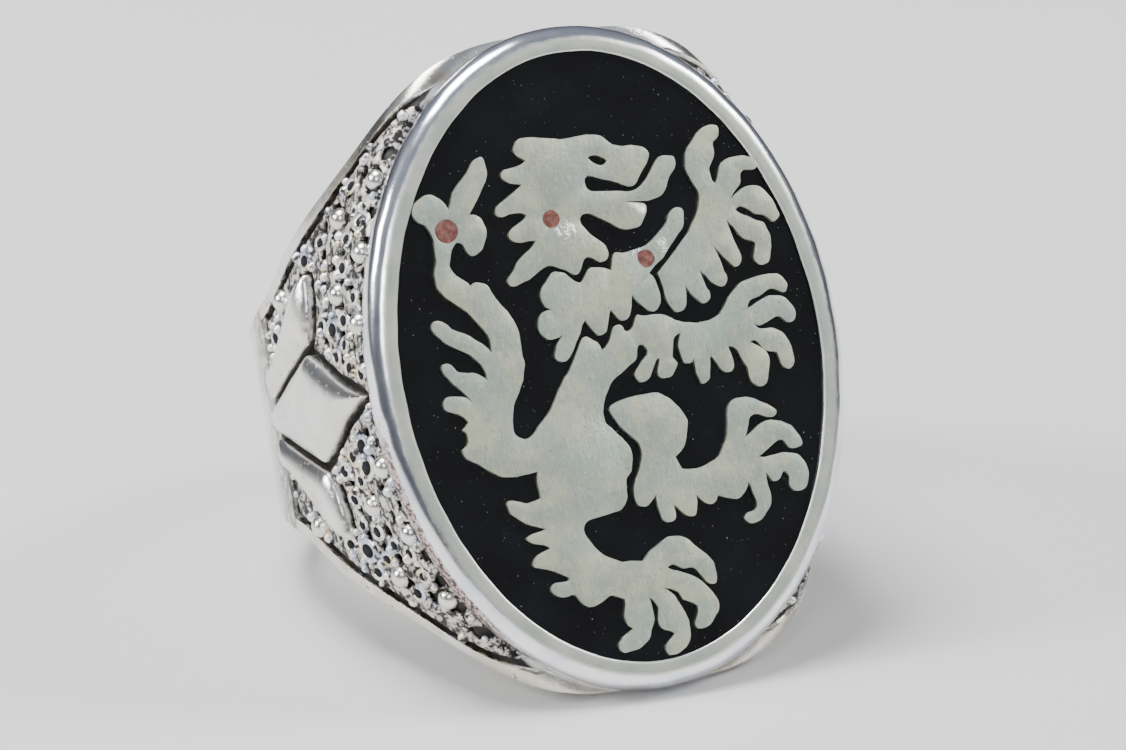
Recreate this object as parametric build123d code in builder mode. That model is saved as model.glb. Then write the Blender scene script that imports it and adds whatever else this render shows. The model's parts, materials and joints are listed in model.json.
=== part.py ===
from build123d import *
import itertools
import math
import os

# Signet ring with an oval enamelled face.
# The pieces are drawn in the ring's own frame: X across the face, Y from the face to the back of
# the finger and Z along the finger. They are then laid down as the ring rests on a table: on the
# lower end of the bezel and the back of the band.

os.makedirs("parts", exist_ok=True)

# ---- finger and band ----
finger_r = 9.3
sleeve_r = 9.85
hoop_r = 10.45
band_half = 3.5
flare_r = 10.0
flare_half = 14.0

# ---- face, from the plate up to the rim ----
seat_y = -10.75
face_y = -12.0
girth_x = 10.2
girth_z = 13.55
opening_x = 9.06
opening_z = 12.4
plate_x = 9.7
plate_z = 13.05
plate_t = 0.4
enamel_drop = 0.2
rim_round = 0.45
seat_round = 0.12

# ---- shoulders ----
ground_depth = 0.4
lace_depth = 0.12
petal_rise = 0.2
rail_w = 0.5
groove_w = 0.22
petal_gap = 0.26
side_reach = 13.0

# ---- openwork of the shoulders ----
pit_r = 0.27
pit_pitch = 1.15
pit_margin = 0.12
pit_columns = 22
pit_rows = 20
boss_r = 0.48
boss_sink = 0.2
boss_gap = 0.03

plate_top_y = seat_y - plate_t
enamel_t = plate_top_y - face_y - enamel_drop
lion_t = plate_top_y - face_y

# Edge of the ring seen from the side, as (y, half width), from the bezel to the back of the band.
side_edge = [
    (-10.75, 13.35), (-10.0, 11.7), (-9.0, 10.5), (-7.0, 9.0), (-5.0, 7.65),
    (-3.0, 6.35), (-1.0, 5.15), (1.0, 4.35), (4.0, 3.75), (11.5, band_half),
]

# How far each level of the shoulders reaches along the finger, and how strongly its flank is
# rounded there, as (y, half length, bow). The flank is an oval at the bezel and straight at y = 0.
flank_levels = [
    (seat_y, 13.5, 0.00545), (-9.06, 13.0, 0.00395), (-7.2, 11.5, 0.00346),
    (-5.35, 10.0, 0.00247), (-2.7, 8.1, 0.00097), (0.0, 6.5, 0.0),
]
flank_steps = (-1, -0.8, -0.45, 0, 0.45, 0.8, 1)

# Large granules above the centre line of a shoulder, as (y, z). Each has a twin below.
boss_row = [(-10.2, 2.9), (-10.2, 5.7), (-10.15, 8.5), (-8.1, 4.3), (-7.9, 7.3), (-2.3, 4.7)]

# Ends of the copper pins that hold the lion, as (x, z, radius).
pin_spots = [(-6.15, 5.95, 0.48), (-1.65, 5.80, 0.37), (2.10, 3.65, 0.36)]


def closed_outline(runs):
    """Smooth runs that meet in sharp corners, each starting where the last one ended."""
    start = runs[-1][-1]
    for run in runs:
        if len(run) == 1:
            Line(start, run[0])
        else:
            Spline(start, *run)
        start = run[-1]


def flank_x(y, z, bow):
    """Distance of the flank from the mid plane."""
    widest = girth_x + (hoop_r - girth_x) * (y - seat_y) / -seat_y
    return widest * math.sqrt(1 - bow * z * z)


def bow_at(y):
    """Bow of the flank between two of its levels."""
    for (y0, _, bow0), (y1, _, bow1) in zip(flank_levels, flank_levels[1:]):
        if y <= y1:
            return bow0 + (bow1 - bow0) * (y - y0) / (y1 - y0)


def flank_block(grow):
    """Both shoulders as one block, with the flanks moved out by grow."""
    with BuildPart() as block:
        for y, reach, bow in flank_levels:
            flank = [(flank_x(y, s * reach, bow) + grow, s * reach) for s in flank_steps]
            other = [(-x, z) for x, z in reversed(flank)]
            with BuildSketch(Plane.XZ.offset(-y)):
                with BuildLine():
                    Spline(*flank)
                    Line(flank[-1], other[0])
                    Spline(*other)
                    Line(other[-1], flank[0])
                make_face()
        loft()
    return block.part


def shifted(points, amount, closed=False):
    """The same line of points, moved to its left by amount."""
    count = len(points)
    moved = []
    for i, (x, y) in enumerate(points):
        before = points[i - 1] if closed or i else points[i]
        after = points[(i + 1) % count] if closed or i < count - 1 else points[i]
        dx = after[0] - before[0]
        dy = after[1] - before[1]
        run = math.hypot(dx, dy)
        moved.append((x - amount * dy / run, y + amount * dx / run))
    return moved


def side_face(inset, front, back):
    """Side view of the ring between two y levels, with its long edges drawn in by inset."""
    upper = shifted(side_edge, -inset)
    first, second = upper[:2]
    upper[0:0] = [(2 * first[0] - second[0], 2 * first[1] - second[1])]
    lower = [(y, -z) for y, z in reversed(upper)]
    with BuildSketch() as view:
        with BuildLine():
            Spline(*upper)
            Line(upper[-1], lower[0])
            Spline(*lower)
            Line(lower[-1], upper[0])
        make_face()
        with Locations(((front + back) / 2, 0)):
            Rectangle(back - front, 2 * flare_half, mode=Mode.INTERSECT)
    return view.sketch


# ---- blocks that the shoulders are cut from ----
ground_block = flank_block(-ground_depth)
edge_block = flank_block(0)
lace_block = flank_block(-lace_depth)
petal_block = flank_block(petal_rise)

# The bore is a cylinder over the band's width and opens out slightly towards the bezel's ends.
with BuildPart() as bore:
    with BuildSketch(Plane.XZ):
        with BuildLine():
            Polyline(
                (0, -flare_half),
                (flare_r, -flare_half),
                (finger_r, -band_half),
                (finger_r, band_half),
                (flare_r, flare_half),
                (0, flare_half),
                close=True,
            )
        make_face()
    revolve(axis=Axis.Z)

# ---- band ----
with BuildPart() as shank:
    Cylinder(radius=hoop_r, height=2 * flare_half)
    with BuildSketch(Plane.YZ):
        add(side_face(0, 0, hoop_r + 1))
    extrude(amount=side_reach, both=True, mode=Mode.INTERSECT)
    Cylinder(radius=sleeve_r, height=2 * band_half)
    add(bore.part, mode=Mode.SUBTRACT)

# ---- cheeks: the dark ground of the shoulders ----
with BuildPart() as cheek_left:
    add(ground_block)
    with BuildSketch(Plane.YZ):
        add(side_face(0, seat_y, 0))
    extrude(amount=-side_reach, mode=Mode.INTERSECT)
    Cylinder(radius=sleeve_r, height=2 * band_half, mode=Mode.SUBTRACT)
    add(bore.part, mode=Mode.SUBTRACT)

# ---- rails along the two edges of each shoulder ----
with BuildPart() as rail_upper_left:
    add(edge_block)
    add(ground_block, mode=Mode.SUBTRACT)
    with BuildSketch(Plane.YZ):
        add(side_face(0, seat_y, 0))
        add(side_face(rail_w, seat_y - 1, 1), mode=Mode.SUBTRACT)
        with Locations((seat_y / 2, -flare_half / 2)):
            Rectangle(-2 * seat_y, flare_half, mode=Mode.SUBTRACT)
    extrude(amount=-side_reach, mode=Mode.INTERSECT)

with BuildPart() as rail_lower_left:
    mirror(rail_upper_left.part, about=Plane.XY)

# ---- tulip: a pointed centre petal between two leaves, seen from the side as (y, z) ----
petal_base_y = -0.1
petal_runs = [
    [(petal_base_y, -0.45)],
    [(petal_base_y, 0.45)],
    [(-4.9, 2.25)],
    [(-6.2, 1.65), (-7.6, 0.95), (-9.0, 0.45), (-10.5, 0.0)],
    [(-9.0, -0.45), (-7.6, -0.95), (-6.2, -1.65), (-4.9, -2.25)],
]
leaf_runs = [
    [(petal_base_y, 0.8)],
    [(petal_base_y, 2.0)],
    [(-0.9, 2.35), (-2.0, 3.1), (-3.2, 4.1), (-4.3, 5.1), (-5.25, 5.5)],
    [(-5.4, 4.6), (-5.3, 3.5), (-4.9, 2.6)],
]


def side_shape(runs, grow):
    """Side view of a petal, made larger by grow."""
    points = shifted([point for run in runs for point in run], -grow, closed=True)
    ends = list(itertools.accumulate(len(run) for run in runs))
    with BuildSketch() as view:
        with BuildLine():
            closed_outline([points[end - len(run):end] for run, end in zip(runs, ends)])
        make_face()
    return view.sketch


with BuildPart() as tulip_centre_left:
    add(petal_block)
    add(ground_block, mode=Mode.SUBTRACT)
    with BuildSketch(Plane.YZ):
        add(side_shape(petal_runs, 0))
    extrude(amount=-side_reach, mode=Mode.INTERSECT)

with BuildPart() as leaf_upper_left:
    add(petal_block)
    add(ground_block, mode=Mode.SUBTRACT)
    with BuildSketch(Plane.YZ):
        add(side_shape(leaf_runs, 0))
    extrude(amount=-side_reach, mode=Mode.INTERSECT)

with BuildPart() as leaf_lower_left:
    mirror(leaf_upper_left.part, about=Plane.XY)

# ---- openwork between the rails and the tulip ----
def open_field(margin, front):
    """Side view of what the rails and the tulip leave free, kept clear of them by margin."""
    with BuildSketch() as view:
        add(side_face(rail_w + groove_w + margin, front, -petal_gap - margin))
        add(side_shape(petal_runs, petal_gap + margin), mode=Mode.SUBTRACT)
        add(side_shape(leaf_runs, petal_gap + margin), mode=Mode.SUBTRACT)
        mirror(side_shape(leaf_runs, petal_gap + margin), about=Plane.XZ, mode=Mode.SUBTRACT)
    return view.sketch


pit_field = open_field(pit_r + pit_margin, seat_y)
pit_spots = [
    spot
    for spot in HexLocations(pit_pitch / 2, pit_columns, pit_rows)
    if any(face.is_inside(spot.position) for face in pit_field.faces())
]
boss_spots = [(y, z * side) for y, z in boss_row for side in (1, -1)]

with BuildPart() as granules_left:
    for y, z in boss_spots:
        with Locations((-flank_x(y, z, bow_at(y)) + boss_sink, y, z)):
            Sphere(radius=boss_r, rotation=(0, 90, 0))
    add(ground_block, mode=Mode.SUBTRACT)

with BuildPart() as filigree_left:
    add(lace_block)
    add(ground_block, mode=Mode.SUBTRACT)
    with BuildSketch(Plane.YZ):
        add(open_field(0, seat_y))
        with Locations(*pit_spots):
            Circle(pit_r, mode=Mode.SUBTRACT)
        with Locations(*boss_spots):
            Circle(boss_r + boss_gap, mode=Mode.SUBTRACT)
    extrude(amount=-side_reach, mode=Mode.INTERSECT)

# ---- the right shoulder mirrors the left ----
with BuildPart() as cheek_right:
    mirror(cheek_left.part, about=Plane.YZ)
with BuildPart() as rail_upper_right:
    mirror(rail_upper_left.part, about=Plane.YZ)
with BuildPart() as rail_lower_right:
    mirror(rail_lower_left.part, about=Plane.YZ)
with BuildPart() as tulip_centre_right:
    mirror(tulip_centre_left.part, about=Plane.YZ)
with BuildPart() as leaf_upper_right:
    mirror(leaf_upper_left.part, about=Plane.YZ)
with BuildPart() as leaf_lower_right:
    mirror(leaf_lower_left.part, about=Plane.YZ)
with BuildPart() as granules_right:
    mirror(granules_left.part, about=Plane.YZ)
with BuildPart() as filigree_right:
    mirror(filigree_left.part, about=Plane.YZ)

# ---- bezel ----
with BuildPart() as bezel_frame:
    with BuildSketch(Plane.XZ.offset(-seat_y)):
        Ellipse(girth_x, girth_z)
    extrude(amount=seat_y - face_y)
    with BuildSketch(Plane.XZ.offset(-seat_y)):
        Ellipse(plate_x, plate_z)
    extrude(amount=plate_t, mode=Mode.SUBTRACT)
    with BuildSketch(Plane.XZ.offset(-plate_top_y)):
        Ellipse(opening_x, opening_z)
    extrude(amount=lion_t, mode=Mode.SUBTRACT)
    fillet(bezel_frame.edges().group_by(Axis.Y)[0].sort_by(SortBy.LENGTH)[-1], radius=rim_round)
    fillet(bezel_frame.edges().group_by(Axis.Y)[-1].sort_by(SortBy.LENGTH)[-1], radius=seat_round)

with BuildPart() as face_plate:
    with BuildSketch(Plane.XZ.offset(-seat_y)):
        Ellipse(plate_x, plate_z)
    extrude(amount=plate_t)

# ---- lion: five flat pieces that stand on the plate, seen from the front as (x, z) ----
# Each run of points is smooth, and the runs meet in the notches between locks, tufts and claws.
head_runs = [
    [(-2.55, 9.08), (-1.75, 9.15), (-0.60, 8.92), (0.50, 8.93), (1.10, 8.80),
     (1.50, 8.42), (1.95, 8.29), (2.45, 8.26), (2.85, 8.10), (3.00, 7.80), (2.60, 7.18),
     (2.28, 6.78), (2.05, 6.62), (1.70, 6.75), (1.15, 6.96), (0.50, 7.22), (0.12, 7.22),
     (0.05, 6.98), (0.28, 6.68), (0.75, 6.57), (1.60, 6.46), (2.05, 6.45), (2.38, 6.56),
     (2.75, 6.83), (3.18, 7.40), (3.45, 7.62), (3.80, 7.66), (4.08, 7.54), (4.13, 7.32),
     (3.70, 6.75), (3.50, 6.38), (3.22, 6.09), (2.80, 5.98), (2.42, 6.00)],
    [(1.50, 6.08)],
    [(2.38, 5.90)],
    [(2.54, 5.72), (2.40, 5.35), (2.15, 5.05), (1.72, 4.91), (1.28, 4.99), (0.90, 5.27),
     (0.45, 5.55), (0.05, 5.77), (-0.25, 5.78), (-0.40, 5.55), (-0.27, 5.18), (0.05, 4.82),
     (0.42, 4.50), (0.56, 4.22), (0.47, 3.90), (0.22, 3.78), (-0.10, 3.91), (-0.42, 4.05)],
    [(-0.60, 3.90), (-0.77, 3.55), (-1.00, 3.45), (-1.32, 3.60), (-1.70, 3.83), (-2.05, 3.93),
     (-2.42, 3.84), (-2.95, 3.57), (-3.50, 3.38), (-3.82, 3.40), (-3.92, 3.55), (-3.80, 3.80),
     (-3.40, 4.24), (-2.85, 4.68), (-2.45, 5.02)],
    [(-2.95, 5.06), (-3.32, 5.09), (-3.55, 5.25), (-3.53, 5.47), (-3.22, 5.74), (-2.70, 6.12)],
    [(-3.05, 6.25), (-3.40, 6.25), (-3.75, 6.18), (-3.95, 6.32), (-3.92, 6.53), (-3.58, 6.80),
     (-3.14, 7.05), (-2.58, 7.34)],
    [(-2.95, 7.42), (-3.28, 7.56), (-3.46, 7.76), (-3.38, 7.96), (-3.05, 8.07), (-2.65, 8.12),
     (-2.28, 8.26)],
    [(-2.56, 8.45), (-2.70, 8.65), (-2.70, 8.85)],
]
eye_runs = [[(0.68, 8.10), (1.00, 7.97), (1.18, 7.80), (0.95, 7.67), (0.66, 7.72), (0.48, 7.87),
             (0.36, 8.05)]]

chest_runs = [
    [(-2.32, 3.37), (-2.56, 3.09), (-2.66, 2.77), (-2.58, 2.45), (-2.26, 2.24)],
    [(-2.60, 2.15), (-2.86, 1.98), (-2.96, 1.60), (-2.83, 1.16), (-2.55, 0.98), (-2.25, 1.04),
     (-2.02, 1.14)],
    [(-2.24, 0.86), (-2.43, 0.50), (-2.47, 0.25), (-2.27, 0.06), (-2.02, 0.08), (-1.78, 0.28),
     (-1.62, 0.52)],
    [(-1.34, 0.95), (-1.14, 1.28), (-0.93, 1.60)],
    [(-0.77, 1.28), (-0.60, 0.97), (-0.40, 0.84), (-0.18, 0.96), (0.00, 1.27), (0.22, 1.84)],
    [(0.40, 1.55), (0.60, 1.33), (0.82, 1.33), (1.02, 1.52), (1.15, 1.90), (1.27, 2.30)],
    [(1.42, 1.98), (1.68, 1.68), (1.97, 1.50), (2.28, 1.59), (2.45, 1.92), (2.44, 2.36),
     (2.33, 2.77), (2.16, 3.07)],
    [(2.46, 3.32), (2.92, 3.68), (3.28, 4.05), (3.90, 4.65), (4.02, 5.09), (4.00, 5.40),
     (3.80, 5.50), (3.58, 5.40), (3.32, 5.05), (2.92, 4.64), (2.55, 4.33), (2.00, 4.11),
     (1.36, 4.03), (0.84, 4.05)],
    [(0.66, 3.85), (0.56, 3.42)],
    [(0.18, 3.56), (-0.30, 3.65)],
    [(-0.58, 3.38), (-0.78, 3.12), (-0.97, 3.10)],
    [(-1.28, 3.33), (-1.60, 3.59), (-1.82, 3.66), (-2.05, 3.62)],
]

foreleg_runs = [
    [(3.00, 3.41), (3.55, 3.87), (4.00, 4.32), (4.36, 4.73), (4.64, 5.14), (4.84, 5.55),
     (4.86, 5.85), (4.76, 6.20), (4.58, 6.66), (4.49, 7.08), (4.54, 7.45), (4.76, 7.83),
     (5.09, 8.18), (5.45, 8.49), (5.82, 8.62), (6.13, 8.51), (6.20, 8.27), (5.98, 8.00),
     (5.82, 7.82), (5.84, 7.50), (5.72, 7.18), (5.55, 6.91), (5.50, 6.62), (5.62, 6.25)],
    [(5.82, 6.50), (6.00, 6.90), (6.33, 7.13), (6.82, 7.18), (7.27, 7.13), (7.55, 6.93),
     (7.62, 6.72), (7.42, 6.57), (7.08, 6.59), (6.82, 6.48), (6.76, 6.18), (6.50, 5.85),
     (6.20, 5.52)],
    [(6.56, 5.74), (7.00, 5.92), (7.43, 5.90), (7.73, 5.64), (8.00, 5.23), (8.17, 4.84),
     (8.12, 4.46), (7.90, 4.37), (7.64, 4.55), (7.38, 4.72), (7.05, 4.78), (6.86, 5.00),
     (6.60, 5.13), (6.34, 5.04)],
    [(6.64, 4.78), (7.09, 4.55), (7.45, 4.30), (7.62, 3.90), (7.62, 3.45), (7.50, 3.00),
     (7.30, 2.69), (6.98, 2.69), (6.77, 2.92), (6.83, 3.24), (6.95, 3.54), (6.63, 3.77),
     (6.32, 4.05), (6.08, 4.40), (5.84, 4.72)],
    [(5.96, 4.27), (6.06, 3.82), (6.18, 3.34), (6.18, 2.93), (5.95, 2.76), (5.68, 2.95),
     (5.36, 3.32), (5.10, 3.72)],
    [(5.23, 3.20), (5.37, 2.74), (5.44, 2.34), (5.27, 2.07), (4.99, 2.14), (4.67, 2.42),
     (4.33, 2.86)],
    [(4.42, 2.36), (4.56, 1.90), (4.54, 1.60), (4.36, 1.48), (4.09, 1.60), (3.82, 1.91),
     (3.59, 2.30)],
    [(3.55, 1.82), (3.37, 1.42), (3.09, 1.30), (2.78, 1.58), (2.65, 1.92), (2.61, 2.45),
     (2.52, 2.85), (2.52, 3.00)],
]

body_runs = [
    [(-1.52, 0.36), (-1.70, 0.10), (-2.14, -0.52), (-2.58, -1.04),
     (-2.95, -1.62), (-3.42, -2.10), (-3.86, -2.54), (-4.23, -2.74), (-4.58, -2.67),
     (-4.78, -2.40), (-4.75, -1.91), (-4.58, -1.36), (-4.24, -0.82), (-4.00, -0.34),
     (-3.84, 0.25), (-3.86, 0.85), (-3.85, 1.40), (-3.98, 2.05), (-4.35, 2.65), (-4.68, 3.18),
     (-4.92, 3.58), (-5.18, 3.72), (-5.52, 3.62)],
    [(-5.82, 3.91), (-6.13, 4.18), (-6.27, 4.50), (-6.18, 4.91), (-6.05, 5.25), (-5.77, 5.40),
     (-5.57, 5.25), (-5.44, 5.03), (-5.18, 4.81), (-4.87, 4.93), (-4.60, 5.32), (-4.46, 5.82),
     (-4.55, 6.18), (-4.80, 6.40), (-5.12, 6.45)],
    [(-4.86, 6.73), (-4.50, 7.20), (-4.15, 7.73), (-4.01, 8.34), (-4.14, 8.63), (-4.42, 8.61),
     (-4.78, 8.24), (-5.23, 7.82), (-5.58, 7.45), (-5.77, 7.02), (-5.93, 6.75)],
    [(-6.05, 7.10), (-6.33, 7.37), (-6.82, 7.49), (-7.23, 7.27), (-7.46, 6.90), (-7.38, 6.57),
     (-7.05, 6.31), (-6.83, 5.92), (-6.76, 5.36), (-6.80, 4.82), (-6.94, 4.27), (-6.92, 3.75),
     (-6.66, 3.33), (-6.13, 2.87), (-5.68, 2.41), (-5.33, 1.83), (-5.10, 1.20), (-5.12, 0.85)],
    [(-5.42, 1.23), (-6.05, 1.73), (-6.75, 2.14), (-7.30, 2.46), (-7.50, 2.32), (-7.40, 2.00),
     (-6.95, 1.52), (-6.41, 1.14), (-5.87, 0.73), (-5.58, 0.27), (-5.53, -0.20)],
    [(-5.87, 0.10), (-6.33, 0.25), (-6.72, 0.36), (-7.05, 0.70), (-7.30, 0.68), (-7.32, 0.36),
     (-7.00, -0.06), (-6.62, -0.52), (-6.28, -1.00)],
    [(-6.55, -0.77), (-7.00, -0.66), (-7.43, -0.69), (-7.54, -0.92), (-7.22, -1.23),
     (-6.82, -1.46), (-6.58, -1.74)],
    [(-6.92, -2.00)],
    [(-6.74, -2.22), (-6.76, -2.48), (-7.10, -2.80)],
    [(-7.00, -3.05), (-6.55, -3.42), (-6.05, -3.82), (-5.60, -4.08), (-4.95, -4.18),
     (-4.40, -4.16), (-4.05, -4.10)],
    [(-4.16, -4.55), (-4.14, -4.95), (-4.08, -5.22)],
    [(-4.50, -5.30), (-4.95, -5.26), (-5.23, -5.14), (-5.53, -5.13), (-5.58, -5.41),
     (-5.32, -5.77), (-4.86, -6.14), (-4.12, -6.44)],
    [(-4.50, -6.52), (-4.86, -6.57), (-5.02, -6.70), (-4.90, -6.86), (-4.52, -7.02),
     (-4.08, -7.22)],
    [(-4.46, -7.35), (-4.82, -7.57), (-4.93, -7.76), (-4.64, -7.95), (-4.18, -8.14),
     (-3.50, -8.54)],
    [(-3.82, -8.67), (-4.18, -8.67), (-4.40, -8.86), (-4.23, -9.08), (-3.82, -9.26),
     (-3.40, -9.26), (-3.26, -9.46), (-3.04, -9.72), (-2.68, -9.82), (-2.32, -9.73),
     (-1.98, -9.52), (-1.62, -9.57), (-1.32, -9.77)],
    [(-1.36, -10.05), (-1.49, -10.41), (-1.41, -10.73), (-1.17, -10.95)],
    [(-1.52, -11.15), (-1.85, -11.44), (-1.92, -11.66), (-1.75, -11.86), (-1.36, -11.84),
     (-0.92, -11.73), (-0.56, -11.45), (-0.33, -11.05), (-0.21, -10.59), (-0.22, -10.18),
     (-0.27, -9.87)],
    [(-0.04, -10.10), (0.03, -10.41), (-0.07, -10.77), (0.06, -11.12), (0.34, -11.30),
     (0.56, -11.50)],
    [(0.28, -11.72), (0.08, -12.00), (0.18, -12.24), (0.52, -12.26), (0.82, -12.14),
     (1.08, -11.92), (1.22, -11.50), (1.23, -10.95), (1.06, -10.41), (0.86, -10.02),
     (0.43, -9.62)],
    [(0.80, -9.70), (1.02, -9.86), (1.18, -10.18), (1.50, -10.34), (1.74, -10.57),
     (1.68, -10.86), (1.48, -11.22), (1.64, -11.44), (2.00, -11.40), (2.44, -11.08),
     (2.64, -10.59), (2.50, -10.14), (2.18, -9.68), (1.82, -9.32), (1.27, -9.06),
     (0.72, -8.80)],
    [(1.04, -8.71), (1.38, -8.92), (1.80, -8.96), (2.12, -9.38), (2.36, -9.67), (2.63, -9.74),
     (2.75, -9.41), (2.71, -8.87), (2.55, -8.58), (2.18, -8.22), (1.82, -7.82), (1.44, -7.60),
     (1.00, -7.60), (0.45, -7.82), (0.05, -8.09), (-0.24, -8.38)],
    [(-1.00, -8.27), (-1.60, -8.06), (-2.10, -7.64), (-2.42, -7.14), (-2.55, -6.75),
     (-2.34, -6.45), (-1.90, -6.34), (-1.36, -6.27), (-0.84, -6.16), (-0.55, -5.86),
     (-0.44, -5.45), (-0.36, -5.02), (-0.10, -4.72), (0.04, -4.27), (0.03, -3.82),
     (-0.23, -3.36), (-0.60, -2.94), (-0.87, -2.43), (-0.78, -1.91), (-0.50, -1.36),
     (-0.05, -0.91), (0.45, -0.62), (0.78, -0.42), (0.98, -0.16), (1.06, 0.10), (1.24, 0.26),
     (1.42, 0.10), (1.44, -0.16), (1.22, -0.36), (0.94, -0.64), (0.77, -1.00), (0.88, -1.20),
     (1.18, -1.24), (1.44, -1.08), (1.62, -0.73), (1.90, -0.40)],
    [(1.82, -0.82), (1.82, -1.12), (2.00, -1.24), (2.36, -1.17), (2.58, -0.92), (2.66, -0.64),
     (2.52, -0.42), (2.58, -0.16), (2.74, 0.26), (3.02, 0.48)],
    [(2.94, 0.18), (2.84, -0.09), (2.90, -0.45), (3.00, -0.78), (3.18, -0.82), (3.38, -0.60)],
    [(3.41, -1.00), (3.46, -1.45), (3.65, -1.72), (3.90, -1.58), (4.05, -1.10), (4.20, -0.64)],
    [(4.36, -1.00), (4.58, -1.31), (4.86, -1.43), (5.10, -1.18), (5.08, -0.82), (5.00, -0.38)],
    [(5.27, -0.50), (5.46, -0.91), (5.67, -1.36), (5.75, -1.90), (6.00, -2.16), (6.31, -2.16),
     (6.50, -1.81), (6.67, -1.18), (6.54, -0.78), (6.27, -0.55), (5.94, -0.32)],
    [(6.29, -0.42), (6.64, -0.80), (7.00, -0.91), (7.13, -1.27), (7.23, -1.55), (7.45, -1.67),
     (7.67, -1.54), (7.76, -1.09), (7.67, -0.64), (7.44, -0.18), (7.05, 0.07), (6.64, 0.12),
     (6.26, 0.34)],
    [(6.73, 0.30), (7.08, 0.42), (7.41, 0.49), (7.70, 0.29), (7.96, 0.20), (8.17, 0.46),
     (8.09, 0.82), (7.82, 1.17), (7.41, 1.37), (6.91, 1.32), (6.45, 1.15), (6.08, 1.03)],
    [(6.40, 1.36), (6.82, 1.47), (7.22, 1.64), (7.55, 1.56), (7.85, 1.45), (8.02, 1.65),
     (7.94, 1.91), (7.63, 2.22), (7.18, 2.27), (6.64, 2.23), (6.09, 2.13), (5.63, 1.82),
     (5.18, 1.37), (4.90, 1.00), (4.45, 0.79), (4.00, 0.76), (3.45, 0.82), (3.00, 0.96),
     (2.55, 1.22), (2.14, 1.36), (1.66, 1.40), (1.38, 1.48)],
    [(1.18, 1.26), (1.04, 1.00), (0.84, 0.86), (0.64, 0.94)],
    [(0.49, 1.16), (0.23, 1.12), (0.05, 0.82), (-0.18, 0.46), (-0.46, 0.27)],
    [(-0.56, 0.55), (-0.78, 0.78), (-1.02, 0.88), (-1.25, 0.78)],
]

thigh_runs = [
    [(0.36, -1.77), (1.00, -1.76), (1.63, -1.80), (2.09, -2.09), (2.45, -2.55),
     (2.65, -3.00), (2.59, -3.55), (2.28, -4.14), (1.92, -4.48)],
    [(2.06, -4.92)],
    [(2.55, -5.05), (3.09, -5.00), (3.62, -4.82), (4.00, -4.41), (4.30, -3.86), (4.41, -3.27),
     (4.56, -2.77), (4.95, -2.51), (5.45, -2.56), (6.00, -2.82), (6.43, -3.09), (6.57, -3.35),
     (6.36, -3.49), (5.95, -3.37), (5.58, -3.28), (5.38, -3.38), (5.22, -3.75), (4.95, -4.20)],
    [(5.40, -3.92), (5.82, -3.67), (6.27, -3.62), (6.73, -3.75), (7.18, -4.06), (7.43, -4.55),
     (7.42, -4.84), (7.18, -4.91), (6.83, -4.73), (6.56, -4.46), (6.40, -4.50), (6.00, -4.73),
     (5.46, -4.98)],
    [(5.91, -5.06), (6.36, -5.00), (6.91, -5.05), (7.34, -5.32), (7.51, -5.73), (7.44, -6.25),
     (7.18, -6.57), (6.83, -6.57), (6.61, -6.30), (6.60, -5.86), (6.44, -5.76), (6.26, -5.98),
     (5.95, -6.08), (5.76, -5.85), (5.62, -5.70)],
    [(5.68, -6.09), (5.72, -6.60), (5.48, -7.20), (5.02, -7.56), (4.62, -7.58), (4.38, -7.40),
     (4.56, -7.17), (4.92, -7.09), (5.06, -6.88), (5.00, -6.55), (4.93, -6.24), (4.80, -5.88)],
    [(4.54, -6.38), (4.18, -6.53), (3.82, -6.42), (3.42, -6.30)],
    [(3.08, -6.56), (2.78, -6.42), (2.54, -6.10)],
    [(2.44, -6.60), (2.26, -6.90), (1.95, -6.86), (1.68, -6.59), (1.48, -6.30)],
    [(1.47, -6.68), (1.34, -6.94), (1.02, -6.98), (0.83, -6.68), (0.78, -6.23), (0.78, -5.72)],
    [(0.56, -6.09), (0.23, -6.22), (-0.08, -6.09), (-0.16, -5.77), (-0.08, -5.36),
     (0.10, -4.95), (0.36, -4.50), (0.50, -4.10), (0.43, -3.72), (0.16, -3.36), (-0.20, -2.90),
     (-0.48, -2.45), (-0.56, -2.15), (-0.28, -1.90)],
]


def flat_figure(*outlines):
    """One island of the lion: the first outline, less any others inside it."""
    with BuildSketch() as view:
        with BuildLine():
            closed_outline(outlines[0])
        make_face()
        for hole in outlines[1:]:
            with BuildSketch(mode=Mode.SUBTRACT):
                with BuildLine():
                    closed_outline(hole)
                make_face()
        for x, z, r in pin_spots:
            with Locations((x, z)):
                Circle(r, mode=Mode.SUBTRACT)
    return view.sketch


figure_sketches = {
    "lion_head": flat_figure(head_runs, eye_runs),
    "lion_chest": flat_figure(chest_runs),
    "lion_raised_foreleg": flat_figure(foreleg_runs),
    "lion_body": flat_figure(body_runs),
    "lion_hind_leg": flat_figure(thigh_runs),
}
figures = {}
for name, outline in figure_sketches.items():
    with BuildPart() as figure:
        with BuildSketch(Plane.XZ.offset(-plate_top_y)):
            add(outline)
        extrude(amount=lion_t)
    figures[name] = figure

with BuildPart() as copper_pins:
    with BuildSketch(Plane.XZ.offset(-plate_top_y)):
        for x, z, r in pin_spots:
            with Locations((x, z)):
                Circle(r)
    extrude(amount=lion_t)

with BuildPart() as enamel_ground:
    with BuildSketch(Plane.XZ.offset(-plate_top_y)):
        Ellipse(opening_x, opening_z)
        for outline in figure_sketches.values():
            add(outline, mode=Mode.SUBTRACT)
        for x, z, r in pin_spots:
            with Locations((x, z)):
                Circle(r, mode=Mode.SUBTRACT)
    extrude(amount=enamel_t)

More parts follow.
